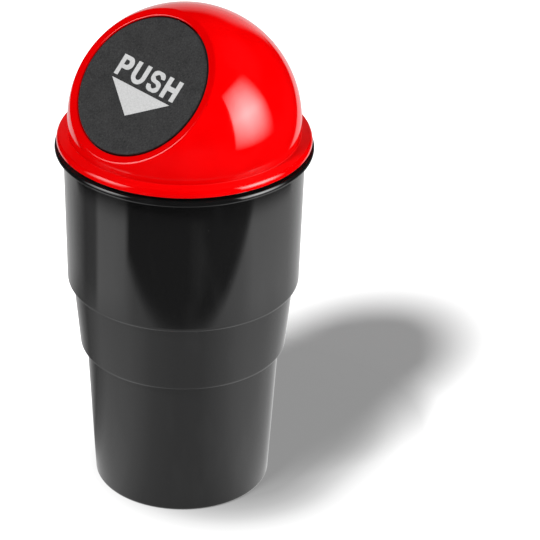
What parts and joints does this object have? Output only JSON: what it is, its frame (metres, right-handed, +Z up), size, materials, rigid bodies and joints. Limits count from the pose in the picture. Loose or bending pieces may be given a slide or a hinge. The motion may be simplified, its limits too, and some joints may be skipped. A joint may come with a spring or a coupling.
{
  "type": "car trash bin",
  "caption": "Stepped cup-holder trash bin for a car with a push-fit domed lid and a sprung round flap in its slanted mouth.",
  "frame": {"origin": "centre of the foot ring, on the surface that the bin stands on", "axes": "+Z up along the bin's axis, -Y the way the flap faces, X along the flap's hinge pin"},
  "size_m": [0.084, 0.084, 0.1688],
  "materials": {
    "bin_black": "polished black plastic",
    "lid_red": "polished red plastic",
    "flap_grey": "matte dark grey plastic with a fine moulded grain",
    "pin_steel": "drawn steel",
    "spring_steel": "spring wire"
  },
  "bodies": {
    "bin": {"bin": "bin_black"},
    "lid": {"lid_dome": "lid_red", "hinge_pin": "pin_steel", "torsion_spring": "spring_steel"},
    "flap": {"flap": "flap_grey"}
  },
  "joints": [
    {"name": "lid_lift", "type": "slide", "parent": "bin", "child": "lid", "axis": [0, 0, 1], "range_m": [0, 0.05]},
    {"name": "flap_swing", "type": "hinge", "parent": "lid", "child": "flap", "pos_m": [0, -0.00174, 0.16117], "axis": [1, 0, 0], "range_deg": [0, 70], "stiffness_Nm_per_rad": 0.01, "springref_deg": -34.38, "deforming": ["torsion_spring"]}
  ]
}
